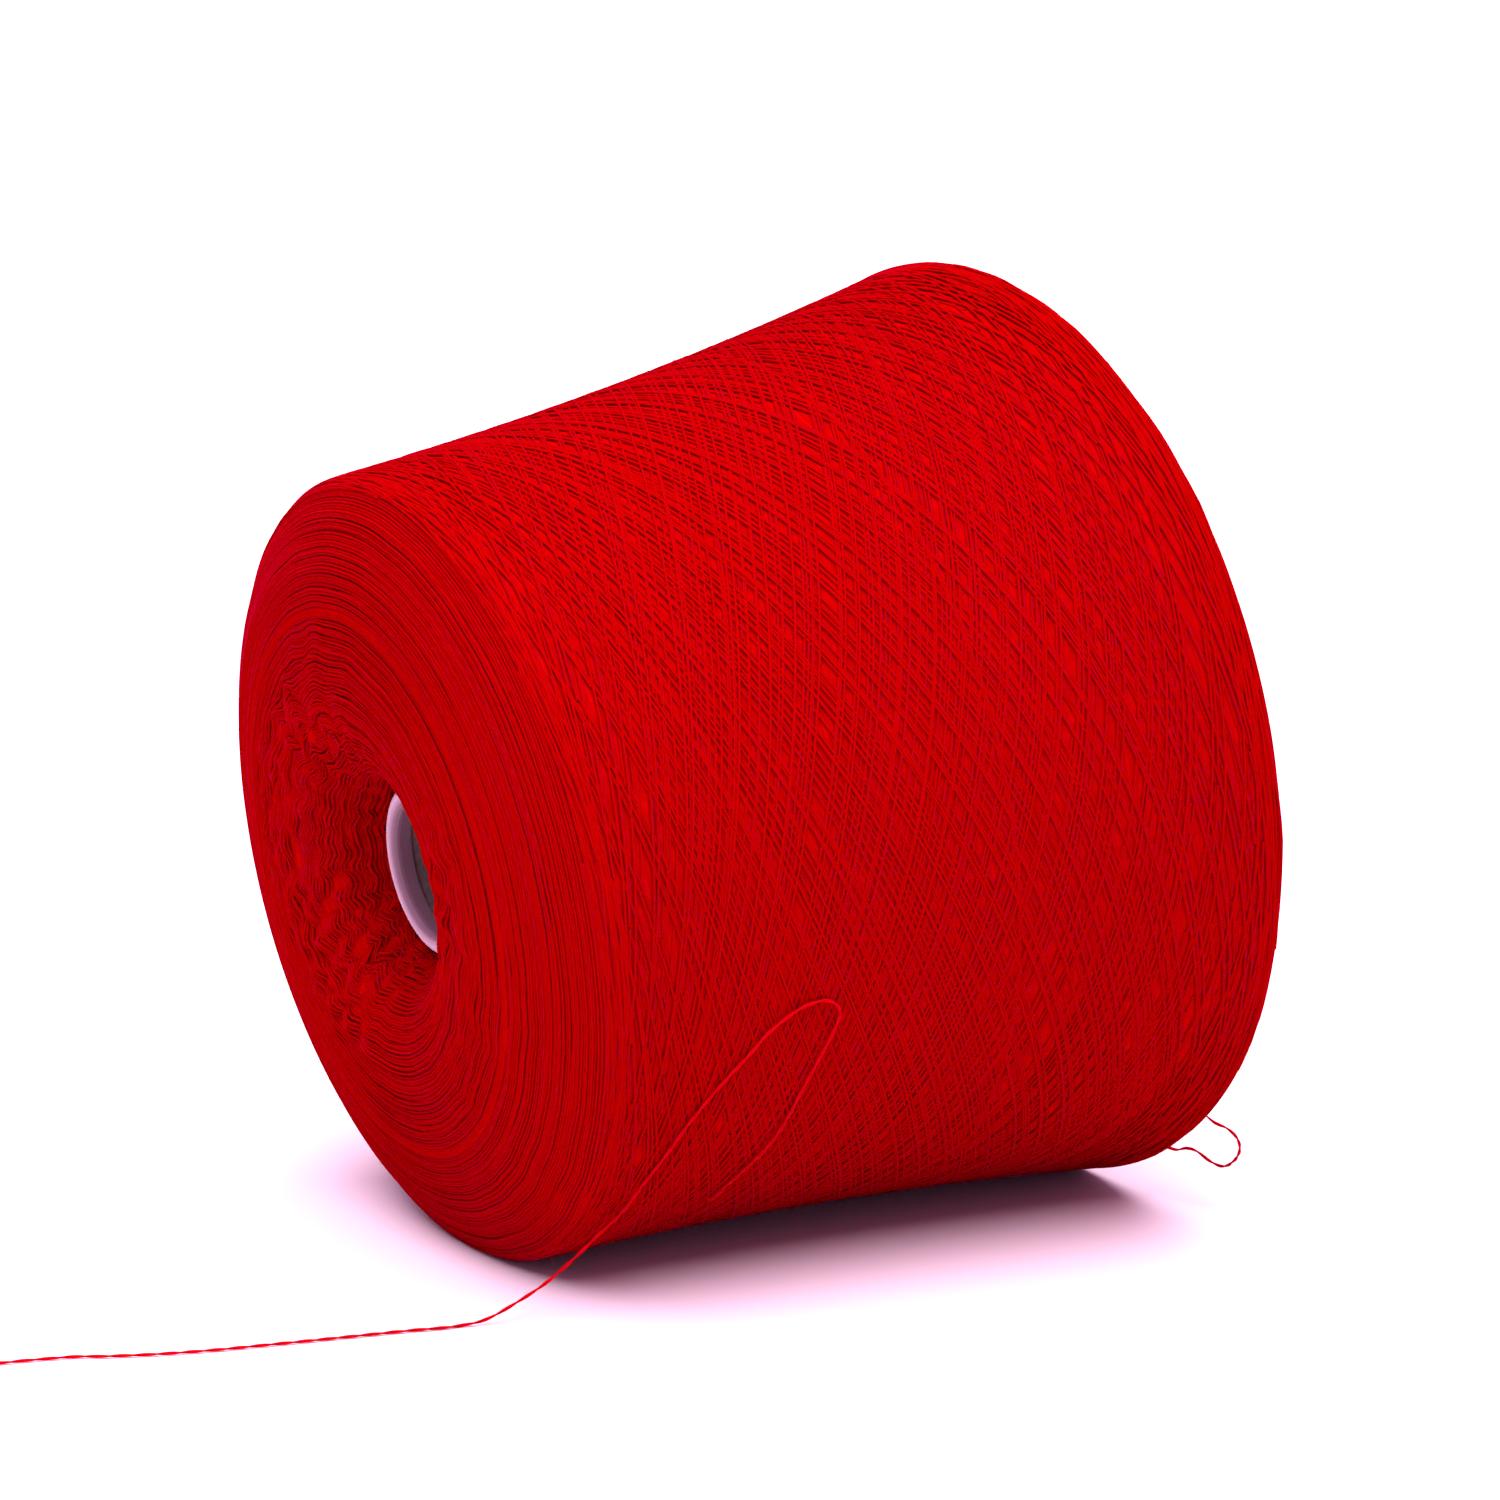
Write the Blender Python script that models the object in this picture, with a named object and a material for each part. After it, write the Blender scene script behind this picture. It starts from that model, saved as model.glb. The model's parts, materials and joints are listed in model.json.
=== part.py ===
"""A knitting-yarn cone lying on its side: a conical paper tube with a cross-wound yarn package on it.

Metres, +Z up. The package rests on z = 0. Its axis lies in the XZ plane, with the small nose end
towards -X and the large base end towards +X, and climbs towards the base by the package's taper.
"""

import math

import bmesh
import bpy
from mathutils import Vector

# ---- driving dimensions -------------------------------------------------------------------------

CLEARANCE = 0.0003  # gap kept between neighbouring pieces

# The conical tube, measured along its axis from the rim of its nose.
TUBE_LENGTH = 0.170
TUBE_HALF_ANGLE = math.radians(5 + 57 / 60)
TUBE_NOSE_RADIUS = 0.0185  # outside, where the slope meets the plane of the rim
BOARD_WALL = 0.0026
COVER_WALL = 0.0005
NOSE_ROUND = 0.0016  # rounding of the rolled nose, outside and inside
LIP_LENGTH = 0.0045  # how far the cover is turned into the bore
NOTCH_WIDTH = 0.0040  # thread notch in the base rim
NOTCH_DEPTH = 0.0050
NOTCH_ANGLE = math.radians(125)  # around the axis, from the floor side towards the back

# The wound package, measured along the axis from the plane of its nose shoulder.
PACKAGE_WIDTH = 0.150
PACKAGE_NOSE_RADIUS = 0.083  # where the side's straight slope meets that plane
PACKAGE_BASE_RADIUS = 0.104
SIDE_HOLLOW = 0.0024  # how far the middle of the side sinks below the straight slope
SHOULDER_START = 0.0055  # where the side ends and the nose shoulder begins
SHOULDER_PULL = 0.008
NOSE_CREST_RADIUS = 0.041
NOSE_CREST_RISE = 0.0096  # how far the bulging nose face stands out of the shoulder plane
NOSE_CREST_PULL = 0.017
CRATER_PULL = 0.012
BASE_EDGE_ROUND = 0.0025
BASE_FACE_PULL = 0.024
RIM_DEPTH = 0.0046  # how far the tube's rim lies inside the shoulder plane
NOSE_BARE = 0.0094  # tube left bare beyond the yarn, at the nose
BASE_BARE = 0.0140  # and at the base
REST_FLAT_DEPTH = 0.00055  # how far the yarn is pressed flat where it lies

# The reserve turns wound on the bare tube at its base end.
BUNCH_GAP = 0.0020  # from the package's face
BUNCH_WIDTH = 0.0060
BUNCH_HEIGHT = 0.0016

THREAD_RADIUS = 0.00036
CORD_SPACING = 0.0034  # between the points of a loose thread's solid

PACKAGE_FACETS = 72
TUBE_FACETS = 48

# The loose end: it leaves the winding low on the front, stands in a hairpin against the side, comes
# down off the nose shoulder to the floor and runs away past the nose.
TAIL_ROUTE = [
    (-0.0395, -0.0556, 0.0198),
    (-0.0385, -0.0598, 0.0235),
    (-0.0367, -0.0638, 0.0275),
    (-0.0345, -0.0684, 0.0326),
    (-0.0328, -0.0728, 0.0385),
    (-0.0315, -0.0777, 0.0465),
    (-0.0298, -0.0815, 0.0537),
    (-0.0281, -0.0840, 0.0594),
    (-0.0275, -0.0855, 0.0636),
    (-0.0294, -0.0859, 0.0660),
    (-0.0323, -0.0857, 0.0665),
    (-0.0368, -0.0852, 0.0653),
    (-0.0424, -0.0837, 0.0613),
    (-0.0461, -0.0819, 0.0567),
    (-0.0511, -0.0787, 0.0501),
    (-0.0556, -0.0747, 0.0425),
    (-0.0586, -0.0696, 0.0345),
    (-0.0606, -0.0642, 0.0278),
    (-0.0622, -0.0588, 0.0212),
    (-0.0660, -0.0567, 0.0170),
    (-0.0708, -0.0555, 0.0126),
    (-0.0770, -0.0540, 0.0076),
    (-0.0839, -0.0524, 0.0036),
    (-0.0892, -0.0512, 0.0012),
    (-0.0937, -0.0502, 0.0005),
    (-0.0990, -0.0494, 0.0005),
    (-0.1033, -0.0481, 0.0005),
    (-0.1132, -0.0459, 0.0005),
    (-0.1229, -0.0438, 0.0005),
    (-0.1326, -0.0416, 0.0005),
    (-0.1421, -0.0394, 0.0005),
    (-0.1529, -0.0360, 0.0005),
    (-0.1619, -0.0322, 0.0005),
    (-0.1673, -0.0293, 0.0005),
    (-0.1747, -0.0270, 0.0005),
    (-0.1813, -0.0254, 0.0005),
    (-0.1880, -0.0234, 0.0005),
]

# A turn that has slipped over the base edge: it comes out of the base face near the floor, droops
# in a loop and goes back in.
LOOP_ROUTE = [
    (0.0799, -0.0622, 0.0235),
    (0.0813, -0.0620, 0.0225),
    (0.0830, -0.0633, 0.0208),
    (0.0843, -0.0664, 0.0199),
    (0.0854, -0.0683, 0.0180),
    (0.0867, -0.0675, 0.0151),
    (0.0882, -0.0638, 0.0117),
    (0.0891, -0.0588, 0.0090),
    (0.0887, -0.0545, 0.0092),
    (0.0876, -0.0512, 0.0108),
    (0.0869, -0.0484, 0.0110),
    (0.0861, -0.0457, 0.0101),
    (0.0846, -0.0445, 0.0106),
    (0.0830, -0.0438, 0.0110),
    (0.0816, -0.0431, 0.0112),
]

# ---- sizes that follow --------------------------------------------------------------------------

PACKAGE_SLOPE = (PACKAGE_BASE_RADIUS - PACKAGE_NOSE_RADIUS) / PACKAGE_WIDTH
PACKAGE_TAPER = math.atan(PACKAGE_SLOPE)
TUBE_SLOPE = math.tan(TUBE_HALF_ANGLE)


def tube_radius(along, inset=0.0):
    """The tube's outside radius at a distance from its rim, less an inset square to the wall."""
    return TUBE_NOSE_RADIUS + along * TUBE_SLOPE - inset / math.cos(TUBE_HALF_ANGLE)


# ---- outlines: lists of (radius, distance along the axis) ---------------------------------------


def arc(centre, radius, start, end, count):
    """Points on an arc, its angles measured from the radial direction towards the base."""
    turns = [start + (end - start) * step / (count - 1) for step in range(count)]
    return [(centre[0] + radius * math.cos(a), centre[1] + radius * math.sin(a)) for a in turns]


def bezier(points, count):
    """Points on a cubic Bezier curve, its two ends included."""
    found = []
    for step in range(count):
        b = step / (count - 1)
        a = 1 - b
        weights = (a**3, 3 * a * a * b, 3 * a * b * b, b**3)
        found.append(tuple(sum(w * p[i] for w, p in zip(weights, points)) for i in (0, 1)))
    return found


def package_outline():
    """The package in section: base face, side, nose shoulder, crater, then its bore."""

    def slope_radius(along):
        return PACKAGE_NOSE_RADIUS + along * PACKAGE_SLOPE

    def bore_radius(along):
        return tube_radius(along - RIM_DEPTH, -CLEARANCE)

    base_inner = RIM_DEPTH + TUBE_LENGTH - BASE_BARE
    nose_inner = RIM_DEPTH + NOSE_BARE
    edge_along = PACKAGE_WIDTH - BASE_EDGE_ROUND
    edge_radius = slope_radius(edge_along) - BASE_EDGE_ROUND / math.cos(PACKAGE_TAPER)
    edge = arc((edge_radius, edge_along), BASE_EDGE_ROUND, math.pi / 2, -PACKAGE_TAPER, 5)
    face_start = (bore_radius(base_inner), base_inner)
    face_pull = (face_start[0] + BASE_FACE_PULL, base_inner)
    edge_pull = (edge_radius - BASE_FACE_PULL, PACKAGE_WIDTH)
    face = bezier((face_start, face_pull, edge_pull, edge[0]), 7)

    side = []
    side_end = edge[-1][1]
    side_length = side_end - SHOULDER_START
    rows = 10
    for row in range(1, rows + 1):
        share = 1 - row / rows
        along = SHOULDER_START + share * side_length
        side.append((slope_radius(along) - 4 * SIDE_HOLLOW * share * (1 - share), along))

    shoulder = side[-1]
    into = Vector((PACKAGE_SLOPE - 4 * SIDE_HOLLOW / side_length, 1)).normalized() * SHOULDER_PULL
    crest = (NOSE_CREST_RADIUS, -NOSE_CREST_RISE)
    nose = bezier(
        (
            shoulder,
            (shoulder[0] - into.x, shoulder[1] - into.y),
            (crest[0] + NOSE_CREST_PULL, crest[1]),
            crest,
        ),
        11,
    )
    foot = (bore_radius(nose_inner), nose_inner)
    crater = bezier((crest, (crest[0] - CRATER_PULL, crest[1]), (foot[0], crest[1] / 2), foot), 8)
    return face + edge[1:] + side + nose[1:] + crater[1:]


# The rolled nose is drawn with arcs about two centres, one near the outside and one near the bore.
BOARD_ROUND = NOSE_ROUND - COVER_WALL - CLEARANCE
OUTER_CENTRE = (tube_radius(NOSE_ROUND, NOSE_ROUND), NOSE_ROUND)
CENTRE_GAP = (BOARD_WALL - 2 * BOARD_ROUND) / math.cos(TUBE_HALF_ANGLE)
INNER_CENTRE = (OUTER_CENTRE[0] - CENTRE_GAP, NOSE_ROUND)


def wall_radius(centre, distance, along):
    """Radius of the line at a distance from a roll centre, square to the wall, outwards positive."""
    slope = (along - centre[1]) * TUBE_SLOPE
    return centre[0] + distance / math.cos(TUBE_HALF_ANGLE) + slope


def rolled_nose(radius, count):
    """From the outer wall over the rim to the inner wall, at one distance from both centres."""
    outside = arc(OUTER_CENTRE, radius, -TUBE_HALF_ANGLE, -math.pi / 2, count)
    inside = arc(INNER_CENTRE, radius, -math.pi / 2, -math.pi - TUBE_HALF_ANGLE, count)
    return outside + inside


def board_outline():
    base_outer = (wall_radius(OUTER_CENTRE, BOARD_ROUND, TUBE_LENGTH), TUBE_LENGTH)
    base_inner = (wall_radius(INNER_CENTRE, -BOARD_ROUND, TUBE_LENGTH), TUBE_LENGTH)
    return [base_outer] + rolled_nose(BOARD_ROUND, 4) + [base_inner]


def cover_outline():
    inside = NOSE_ROUND - COVER_WALL
    lip_end = [(wall_radius(INNER_CENTRE, -r, LIP_LENGTH), LIP_LENGTH) for r in (NOSE_ROUND, inside)]
    base_outer = (wall_radius(OUTER_CENTRE, NOSE_ROUND, TUBE_LENGTH), TUBE_LENGTH)
    base_inner = (wall_radius(OUTER_CENTRE, inside, TUBE_LENGTH), TUBE_LENGTH)
    over = rolled_nose(NOSE_ROUND, 5)
    under = rolled_nose(inside, 4)
    return [base_outer] + over + lip_end + under[::-1] + [base_inner]


def bunch_outline():
    """Reserve turns: a low rounded band that sits on the cover."""
    far = TUBE_LENGTH - BASE_BARE + BUNCH_GAP + BUNCH_WIDTH
    near = far - BUNCH_WIDTH
    foot_far = (tube_radius(far, -CLEARANCE), far)
    foot_near = (tube_radius(near, -CLEARANCE), near)
    lift = BUNCH_HEIGHT * 4 / 3  # a Bezier curve's middle reaches three quarters of its handles
    return bezier((foot_far, (foot_far[0] + lift, far), (foot_near[0] + lift, near), foot_near), 7)


# ---- building -----------------------------------------------------------------------------------


def material(name, colour, roughness):
    made = bpy.data.materials.new(name)
    made.use_nodes = True
    surface = made.node_tree.nodes["Principled BSDF"]
    surface.inputs["Base Color"].default_value = (*colour, 1.0)
    surface.inputs["Roughness"].default_value = roughness
    surface.inputs["Metallic"].default_value = 0.0
    return made


def add_object(name, data, parent=None):
    made = bpy.data.objects.new(name, data)
    bpy.context.scene.collection.objects.link(made)
    made.parent = parent
    return made


def turned(name, outline, facets, parent, finish):
    """A solid turned round the parent's Z axis from a closed outline."""
    mesh = bpy.data.meshes.new(name)
    outline_mesh = bmesh.new()
    corners = [outline_mesh.verts.new((radius, 0.0, along)) for radius, along in outline]
    for here, there in zip(corners, corners[1:] + corners[:1]):
        outline_mesh.edges.new((here, there))
    outline_mesh.to_mesh(mesh)
    outline_mesh.free()
    mesh.materials.append(finish)
    made = add_object(name, mesh, parent)
    screw = made.modifiers.new("turn", "SCREW")
    screw.axis = "Z"
    screw.angle = math.tau
    screw.steps = facets
    screw.render_steps = facets
    screw.use_merge_vertices = True
    screw.merge_threshold = 0.00001
    screw.use_smooth_shade = True
    return made


def block(name, low, high, parent=None):
    """A box used as a cutter, from its lowest to its highest corner."""
    mesh = bpy.data.meshes.new(name)
    shape = bmesh.new()
    bmesh.ops.create_cube(shape, size=1.0)
    for corner in shape.verts:
        for axis in range(3):
            corner.co[axis] = low[axis] if corner.co[axis] < 0 else high[axis]
    shape.to_mesh(mesh)
    shape.free()
    made = add_object(name, mesh, parent)
    made.hide_render = True
    made.display_type = "WIRE"
    return made


def cut(target, cutter):
    boolean = target.modifiers.new(cutter.name, "BOOLEAN")
    boolean.operation = "DIFFERENCE"
    boolean.object = cutter


def smooth_route(route, spacing):
    """Evenly spaced points on a Catmull-Rom curve through a hand-laid route."""
    knots = [Vector(p) for p in route]
    knots = [2 * knots[0] - knots[1]] + knots + [2 * knots[-1] - knots[-2]]
    fine = []
    pieces = 16
    for a, b, c, d in zip(knots, knots[1:], knots[2:], knots[3:]):
        for step in range(pieces):
            t = step / pieces
            fine.append(
                0.5 * (2 * b + (c - a) * t + (2 * a - 5 * b + 4 * c - d) * t * t)
                + 0.5 * (3 * b - a - 3 * c + d) * t**3
            )
    fine.append(knots[-2])
    lengths = [0.0]
    for here, there in zip(fine, fine[1:]):
        lengths.append(lengths[-1] + (there - here).length)
    count = max(2, round(lengths[-1] / spacing))
    found = [fine[0]]
    at = 0
    for step in range(1, count):
        wanted = lengths[-1] * step / count
        while lengths[at + 1] < wanted:
            at += 1
        share = (wanted - lengths[at]) / (lengths[at + 1] - lengths[at])
        found.append(fine[at].lerp(fine[at + 1], share))
    return found + [fine[-1]]


def thread(name, route, spacing, finish):
    """A loose length of thread as a round tube along its route."""
    curve = bpy.data.curves.new(name, "CURVE")
    curve.dimensions = "3D"
    curve.bevel_depth = THREAD_RADIUS
    curve.bevel_resolution = 2
    curve.use_fill_caps = True
    points = smooth_route(route, spacing)
    spline = curve.splines.new("POLY")
    spline.points.add(len(points) - 1)
    for point, place in zip(spline.points, points):
        point.co = (*place, 1.0)
    curve.materials.append(finish)
    return add_object(name, curve)


for old in list(bpy.data.objects):
    bpy.data.objects.remove(old, do_unlink=True)

yarn = material("red_yarn", (0.62, 0.004, 0.008), 0.85)
board = material("grey_board", (0.36, 0.31, 0.28), 0.8)
paper = material("white_paper", (0.80, 0.74, 0.74), 0.55)

# The axis: it stands so that the package's slope lies level, and so that the box is centred on x = 0.
package = package_outline()
tube_in_package = [(radius, along + RIM_DEPTH) for radius, along in cover_outline()]
sine = math.sin(PACKAGE_TAPER)
cosine = math.cos(PACKAGE_TAPER)
reach = package + tube_in_package
lowest_x = min(along * cosine - radius * sine for radius, along in reach)
highest_x = max(along * cosine + radius * sine for radius, along in reach)

cone_axis = add_object("cone_axis", None)
cone_axis.location.x = -(lowest_x + highest_x) / 2
cone_axis.location.z = PACKAGE_NOSE_RADIUS * cosine - REST_FLAT_DEPTH
cone_axis.rotation_euler.y = math.pi / 2 - PACKAGE_TAPER

yarn_package = turned("yarn_package", package, PACKAGE_FACETS, cone_axis, yarn)
floor_reach = 2 * PACKAGE_BASE_RADIUS + PACKAGE_WIDTH
floor_cutter = block(
    "floor_cutter", (-floor_reach, -floor_reach, -PACKAGE_BASE_RADIUS), (floor_reach, floor_reach, 0.0)
)
cut(yarn_package, floor_cutter)

# The tube and what is wound on it draw out together along this axis.
tube_axis = add_object("tube_axis", None, cone_axis)
tube_axis.location.z = RIM_DEPTH
tube_board = turned("tube_board", board_outline(), TUBE_FACETS, tube_axis, board)
tube_cover = turned("tube_cover", cover_outline(), TUBE_FACETS, tube_axis, paper)
transfer_bunch = turned("transfer_bunch", bunch_outline(), TUBE_FACETS, tube_axis, yarn)

notch_reach = tube_radius(TUBE_LENGTH) + NOTCH_WIDTH
notch_cutter = block(
    "notch_cutter",
    (0.0, -NOTCH_WIDTH / 2, TUBE_LENGTH - NOTCH_DEPTH),
    (notch_reach, NOTCH_WIDTH / 2, TUBE_LENGTH + NOTCH_DEPTH),
    tube_axis,
)
notch_cutter.rotation_euler.z = NOTCH_ANGLE
cut(tube_board, notch_cutter)
cut(tube_cover, notch_cutter)

thread_tail = thread("thread_tail", TAIL_ROUTE, CORD_SPACING, yarn)
base_loop = thread("base_loop", LOOP_ROUTE, CORD_SPACING / 2, yarn)
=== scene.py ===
"""A cone of red knitting thread lying on its side: conical paper tube, cross-wound package, loose end.

Metres, +Z up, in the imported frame. The nose of the cone points towards -X.
"""

import json
import math

import bpy
import numpy as np
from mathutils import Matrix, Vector


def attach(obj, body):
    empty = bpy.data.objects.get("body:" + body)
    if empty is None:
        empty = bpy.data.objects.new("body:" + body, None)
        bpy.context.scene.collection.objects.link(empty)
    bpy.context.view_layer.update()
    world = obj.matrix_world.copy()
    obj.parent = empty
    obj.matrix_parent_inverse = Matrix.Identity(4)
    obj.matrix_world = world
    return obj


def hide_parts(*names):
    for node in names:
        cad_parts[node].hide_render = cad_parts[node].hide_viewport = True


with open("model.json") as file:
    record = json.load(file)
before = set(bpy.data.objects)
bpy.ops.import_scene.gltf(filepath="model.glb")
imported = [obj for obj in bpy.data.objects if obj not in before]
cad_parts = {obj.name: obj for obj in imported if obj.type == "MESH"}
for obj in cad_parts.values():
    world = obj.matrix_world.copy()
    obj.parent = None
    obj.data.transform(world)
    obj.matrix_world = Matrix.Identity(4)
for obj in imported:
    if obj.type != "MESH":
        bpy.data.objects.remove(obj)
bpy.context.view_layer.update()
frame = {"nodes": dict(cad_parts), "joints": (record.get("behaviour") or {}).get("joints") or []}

# ---- camera -------------------------------------------------------------------------------------
# A long lens a little above the middle of the cone, looking at its nose end from the front left.

CAMERA_PLACE = (-0.43274, -0.73163, 0.24621)
CAMERA_TURN = math.radians(-30.758)
CAMERA_DIP = math.radians(9.678)
CAMERA_LENS = 95.07

camera_data = bpy.data.cameras.new("camera")
camera_data.sensor_width = 36.0
camera_data.lens = CAMERA_LENS
camera_data.clip_start = 0.02
camera_data.clip_end = 60.0
camera = bpy.data.objects.new("camera", camera_data)
camera.location = CAMERA_PLACE
camera.rotation_euler = (math.pi / 2 - CAMERA_DIP, 0.0, CAMERA_TURN)
bpy.context.scene.collection.objects.link(camera)
bpy.context.scene.camera = camera

# ---- loose end and slipped loop -----------------------------------------------------------------
# Two free lengths of the package's own thread, two soft plies twisted together. The loose end comes
# out low on the front, makes a hairpin, and runs away on the floor. The loop is a turn that has
# slipped over the base edge.

THREAD_RADIUS = 0.00036
PLY_PITCH = 0.0092  # one full turn of a ply round the other
PLY_RADIUS = 0.00021
PLY_OFFSET = 0.00016
ROUTE_STEP = 0.0006

TAIL_ROUTE = [
    (-0.0399, -0.0530, 0.0199),
    (-0.0395, -0.0556, 0.0198),
    (-0.0385, -0.0598, 0.0235),
    (-0.0367, -0.0638, 0.0275),
    (-0.0345, -0.0684, 0.0326),
    (-0.0328, -0.0728, 0.0385),
    (-0.0315, -0.0777, 0.0465),
    (-0.0298, -0.0815, 0.0537),
    (-0.0281, -0.0840, 0.0594),
    (-0.0275, -0.0855, 0.0636),
    (-0.0294, -0.0859, 0.0660),
    (-0.0323, -0.0857, 0.0665),
    (-0.0368, -0.0852, 0.0653),
    (-0.0424, -0.0837, 0.0613),
    (-0.0461, -0.0819, 0.0567),
    (-0.0511, -0.0787, 0.0501),
    (-0.0556, -0.0747, 0.0425),
    (-0.0586, -0.0696, 0.0345),
    (-0.0606, -0.0642, 0.0278),
    (-0.0622, -0.0588, 0.0212),
    (-0.0660, -0.0567, 0.0170),
    (-0.0708, -0.0555, 0.0126),
    (-0.0770, -0.0540, 0.0076),
    (-0.0839, -0.0524, 0.0036),
    (-0.0892, -0.0512, 0.0012),
    (-0.0937, -0.0502, 0.0005),
    (-0.0990, -0.0494, 0.0005),
    (-0.1033, -0.0481, 0.0005),
    (-0.1132, -0.0459, 0.0005),
    (-0.1229, -0.0438, 0.0005),
    (-0.1326, -0.0416, 0.0005),
    (-0.1421, -0.0394, 0.0005),
    (-0.1529, -0.0360, 0.0005),
    (-0.1619, -0.0322, 0.0005),
    (-0.1673, -0.0293, 0.0005),
    (-0.1747, -0.0270, 0.0005),
    (-0.1813, -0.0254, 0.0005),
    (-0.1880, -0.0234, 0.0005),
]
LOOP_ROUTE = [
    (0.0779, -0.0622, 0.0237),
    (0.0799, -0.0622, 0.0235),
    (0.0813, -0.0620, 0.0225),
    (0.0830, -0.0633, 0.0208),
    (0.0843, -0.0664, 0.0199),
    (0.0854, -0.0683, 0.0180),
    (0.0867, -0.0675, 0.0151),
    (0.0882, -0.0638, 0.0117),
    (0.0891, -0.0588, 0.0090),
    (0.0887, -0.0545, 0.0092),
    (0.0876, -0.0512, 0.0108),
    (0.0869, -0.0484, 0.0110),
    (0.0861, -0.0457, 0.0101),
    (0.0846, -0.0445, 0.0106),
    (0.0830, -0.0438, 0.0110),
    (0.0816, -0.0431, 0.0112),
    (0.0795, -0.0426, 0.0113),
]


def add_node(tree, kind, inputs=None, **properties):
    """A node with its properties, and its inputs set to values or joined to other nodes' outputs."""
    node = tree.nodes.new(kind)
    for name, value in properties.items():
        setattr(node, name, value)
    for name, value in (inputs or {}).items():
        if isinstance(name, int):
            socket = node.inputs[name]
        else:
            socket = next(s for s in node.inputs if s.name == name and s.enabled)
        if isinstance(value, bpy.types.NodeSocket):
            tree.links.new(value, socket)
        else:
            socket.default_value = value
    return node


def math_of(tree, operation, *values):
    return add_node(tree, "ShaderNodeMath", dict(enumerate(values)), operation=operation).outputs[0]


def colour_mix(tree, share, first, second):
    node = add_node(tree, "ShaderNodeMix", data_type="RGBA")
    for socket, value in zip((node.inputs[0], node.inputs[6], node.inputs[7]), (share, first, second)):
        if isinstance(value, bpy.types.NodeSocket):
            tree.links.new(value, socket)
        else:
            socket.default_value = value
    return node.outputs[2]


def noise_of(tree, place, scale, detail=2.0, roughness=0.5):
    inputs = {"Vector": place, "Scale": scale, "Detail": detail, "Roughness": roughness}
    return add_node(tree, "ShaderNodeTexNoise", inputs).outputs[0]


def spread(tree, value, low, high, to_low=0.0, to_high=1.0):
    """A value stretched from one range to another, and held at its ends."""
    inputs = {0: value, 1: low, 2: high, 3: to_low, 4: to_high}
    return add_node(tree, "ShaderNodeMapRange", inputs).outputs[0]


def bump_of(tree, height, distance, strength=1.0):
    inputs = {"Height": height, "Distance": distance, "Strength": strength}
    return add_node(tree, "ShaderNodeBump", inputs).outputs[0]


# The deep colour takes the darker fibres and the painted shade in the grooves between the plies.
YARN_LIT = (0.32, 0.0003, 0.0005, 1.0)
YARN_DEEP = (0.20, 0.0001, 0.0002, 1.0)
# painted light: the loose thread is the package's own yarn, given paler colours than the wound threads
# because it lies out in the light, not in their shade.
LOOSE_PAINTED_LIGHT_PALE = (0.46, 0.0006, 0.0035, 1.0)
LOOSE_PAINTED_LIGHT_DARK = (0.34, 0.0003, 0.0015, 1.0)
YARN_SHEEN = (1.0, 0.0, 0.22, 1.0)


def yarn_finish(name, groove_shade_depth, lit, deep):
    """Dyed two-ply yarn: painted shade in the grooves between the plies round each thread, uneven
    fibres, and a soft bloom.
    """
    made = bpy.data.materials.new(name)
    made.use_nodes = True
    tree = made.node_tree
    surface = tree.nodes["Principled BSDF"]
    surface.inputs["Roughness"].default_value = 0.85
    surface.inputs["Specular IOR Level"].default_value = 0.0
    surface.inputs["Sheen Weight"].default_value = 0.16
    surface.inputs["Sheen Roughness"].default_value = 0.25
    surface.inputs["Sheen Tint"].default_value = YARN_SHEEN
    run = add_node(tree, "ShaderNodeAttribute", attribute_name="run").outputs["Fac"]
    side = add_node(tree, "ShaderNodeAttribute", attribute_name="side").outputs["Vector"]
    dye = add_node(tree, "ShaderNodeAttribute", attribute_name="dye").outputs["Fac"]
    place = add_node(tree, "ShaderNodeTexCoord").outputs["Object"]
    phase = math_of(tree, "MULTIPLY", run, math.tau / PLY_PITCH)
    facing = add_node(
        tree,
        "ShaderNodeCombineXYZ",
        {0: math_of(tree, "COSINE", phase), 1: math_of(tree, "SINE", phase)},
    ).outputs[0]
    round_side = add_node(tree, "ShaderNodeVectorMath", {0: side}, operation="NORMALIZE").outputs[0]
    towards = add_node(
        tree, "ShaderNodeVectorMath", {0: round_side, 1: facing}, operation="DOT_PRODUCT"
    ).outputs["Value"]
    crest = math_of(tree, "MULTIPLY", towards, towards)
    fibres = noise_of(tree, place, 1800.0, 3.0, 0.6)
    uneven = noise_of(tree, place, 160.0, 2.0, 0.5)
    # painted shade: the colour darkens in the grooves between the two plies.
    ply_groove_shade = spread(tree, crest, 0.0, 0.75, 1.0 - groove_shade_depth, 1.0)
    fuzz = spread(tree, fibres, 0.3, 0.7, 0.72, 1.0)
    cloud = spread(tree, uneven, 0.3, 0.7, 0.85, 1.0)
    batch = spread(tree, dye, 0.0, 1.0, 0.80, 1.0)
    fine = math_of(tree, "MULTIPLY", ply_groove_shade, fuzz)
    broad = math_of(tree, "MULTIPLY", cloud, batch)
    share = math_of(tree, "MULTIPLY", fine, broad)
    tree.links.new(colour_mix(tree, share, deep, lit), surface.inputs["Base Color"])
    height = math_of(tree, "ADD", crest, math_of(tree, "MULTIPLY", fibres, 0.5))
    tree.links.new(bump_of(tree, height, 0.00012, 0.6), surface.inputs["Normal"])
    return made


thread_finish = yarn_finish("red_thread", 0.30, YARN_LIT, YARN_DEEP)
# painted light: the loose thread's and the lint's colours are paler than the wound yarn's.
plied_painted_light_finish = yarn_finish("red_plied_thread_painted_light", 0.0, LOOSE_PAINTED_LIGHT_PALE, LOOSE_PAINTED_LIGHT_DARK)


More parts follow.
